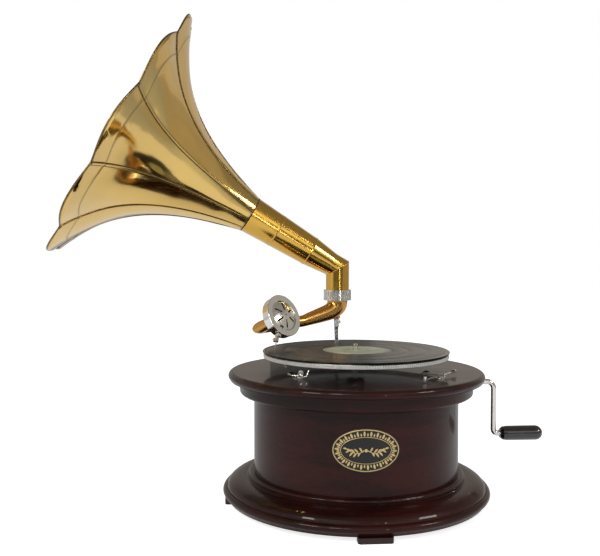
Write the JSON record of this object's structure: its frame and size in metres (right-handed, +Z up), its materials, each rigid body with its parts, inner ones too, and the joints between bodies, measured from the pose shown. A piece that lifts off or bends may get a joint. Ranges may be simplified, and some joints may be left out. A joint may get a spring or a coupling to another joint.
{
  "type": "gramophone",
  "caption": "Horn gramophone with a round mahogany cabinet, a spring motor, a crank, a record, a tone arm with its sound box and a petalled brass horn",
  "frame": {"origin": "where the turntable's axis meets the surface that the feet stand on", "axes": "+Z up along the turntable's spindle; -Y is the front, with the oval badge; +X is the crank's side; the horn's bracket stands at +Y"},
  "size_m": [0.6947, 0.4918, 0.6731],
  "materials": {
    "mahogany": "high gloss French polish on dark red mahogany",
    "black_lacquer": "black lacquer, satin",
    "panel_wood": "plain sanded board, unpolished",
    "nickel": "bright nickel plate",
    "platter_nickel": "nickel plate, knurled rim",
    "badge_black": "black enamel with a thin pale border",
    "motor_steel": "ground steel, oiled",
    "barrel_steel": "turned steel",
    "black_rubber": "moulded rubber",
    "gear_brass": "cut brass, fine turned",
    "spring_steel": "blued spring steel",
    "felt": "green felt",
    "shellac": "pressed record with grooves and a bare paper label",
    "black_grip": "black lacquered grip",
    "arm_brass": "brass, duller than the horn",
    "soundbox_metal": "nickel plate over a cast body",
    "red_rubber": "soft tube gasket",
    "mica": "thin mica sheet",
    "horn_brass": "polished and lacquered brass sheet"
  },
  "bodies": {
    "cabinet": {"feet": "black_lacquer", "plinth": "mahogany", "bottom_panel": "panel_wood", "wood_screws": "nickel", "drum_wall": "mahogany", "lid_ring": "mahogany", "top_board": "mahogany", "badge_plate": "badge_black", "crank_bush": "nickel", "motor_top_plate": "motor_steel", "motor_bottom_plate": "motor_steel", "motor_pillars": "motor_steel", "motor_bolts": "nickel", "motor_spacers": "black_rubber", "motor_bearings": "gear_brass", "speed_plate": "nickel", "brake_post": "nickel", "arm_bracket": "nickel", "horn_ring": "nickel"},
    "platter": {"spindle": "nickel", "spindle_wheel": "gear_brass", "turntable": "platter_nickel", "turntable_mat": "felt", "record": "shellac"},
    "barrel": {"spring_barrel": "barrel_steel", "barrel_cover": "barrel_steel", "mainspring": "spring_steel"},
    "arbor": {"winding_arbor": "motor_steel", "crown_wheel": "gear_brass"},
    "second_wheel": {"intermediate_gear": "gear_brass"},
    "governor": {"governor_shaft": "motor_steel", "governor_disc": "motor_steel", "governor_weights": "gear_brass"},
    "governor_pad": {"governor_brake": "motor_steel"},
    "lever": {"speed_lever": "nickel"},
    "brake": {"brake_wire": "nickel"},
    "crank": {"crank_rod": "nickel", "winding_shaft": "motor_steel"},
    "grip": {"crank_grip": "black_grip"},
    "arm": {"tone_arm": "arm_brass"},
    "sound_box": {"gooseneck": "arm_brass", "soundbox_body": "soundbox_metal", "soundbox_gaskets": "red_rubber", "diaphragm": "mica", "soundbox_cover": "soundbox_metal", "needle_bar": "nickel", "needle_screw": "nickel", "needle": "nickel"},
    "horn": {"horn_elbow": "horn_brass", "horn_neck": "horn_brass", "horn_petal_1": "horn_brass", "horn_petal_2": "horn_brass", "horn_petal_3": "horn_brass", "horn_petal_4": "horn_brass", "horn_petal_5": "horn_brass", "horn_petal_6": "horn_brass", "horn_petal_7": "horn_brass", "horn_petal_8": "horn_brass", "horn_petal_9": "horn_brass", "horn_petal_10": "horn_brass"}
  },
  "joints": [
    {"name": "turntable_spin", "type": "hinge", "parent": "cabinet", "child": "platter", "pos_m": [0, 0, 0.19], "axis": [0, 0, -1], "continuous": true},
    {"name": "second_wheel_spin", "type": "hinge", "parent": "cabinet", "child": "second_wheel", "pos_m": [0.02253, 0.03686, 0.1], "axis": [0, 0, 1], "continuous": true},
    {"name": "barrel_spin", "type": "hinge", "parent": "cabinet", "child": "barrel", "pos_m": [0.062, 0, 0.11], "axis": [0, 0, 1], "continuous": true},
    {"name": "governor_spin", "type": "hinge", "parent": "cabinet", "child": "governor", "pos_m": [0, -0.03055, 0.12], "axis": [1, 0, 0], "continuous": true},
    {"name": "crank_turn", "type": "hinge", "parent": "cabinet", "child": "crank", "pos_m": [0.14, 0, 0.157], "axis": [1, 0, 0], "continuous": true},
    {"name": "arbor_spin", "type": "hinge", "parent": "cabinet", "child": "arbor", "pos_m": [0.062, 0, 0.14], "axis": [0, 0, 1], "continuous": true},
    {"name": "grip_spin", "type": "hinge", "parent": "crank", "child": "grip", "pos_m": [0.228, 0, 0.085], "axis": [1, 0, 0], "continuous": true},
    {"name": "tone_arm_swivel", "type": "hinge", "parent": "cabinet", "child": "arm", "pos_m": [-0.008, 0.145, 0.25], "axis": [0, 0, 1], "range_deg": [-20, 24]},
    {"name": "gooseneck_twist", "type": "hinge", "parent": "arm", "child": "sound_box", "pos_m": [-0.08746, 0.10744, 0.22875], "axis": [-0.8999, -0.4254, -0.0958], "range_deg": [0, 100]},
    {"name": "horn_swing", "type": "hinge", "parent": "cabinet", "child": "horn", "pos_m": [-0.008, 0.145, 0.25], "axis": [0, 0, 1], "range_deg": [-75, 75]},
    {"name": "speed_lever_turn", "type": "hinge", "parent": "cabinet", "child": "lever", "pos_m": [0.1034, -0.0784, 0.178], "axis": [0, 0, 1], "range_deg": [-4, 4]},
    {"name": "governor_pad_turn", "type": "hinge", "parent": "cabinet", "child": "governor_pad", "pos_m": [0.08, -0.062, 0.15], "axis": [0, 0, 1], "range_deg": [-3, 3]},
    {"name": "brake_turn", "type": "hinge", "parent": "cabinet", "child": "brake", "pos_m": [-0.0799, -0.0746, 0.1828], "axis": [0.2588, 0.9659, 0], "range_deg": [0, 12]}
  ],
  "couplings": [
    {"joint": "second_wheel_spin", "follows": "turntable_spin", "ratio": 0.2},
    {"joint": "barrel_spin", "follows": "turntable_spin", "ratio": -0.04},
    {"joint": "governor_spin", "follows": "turntable_spin", "ratio": 8},
    {"joint": "arbor_spin", "follows": "crank_turn", "ratio": 0.33333},
    {"joint": "governor_pad_turn", "follows": "speed_lever_turn", "ratio": -0.7238}
  ]
}
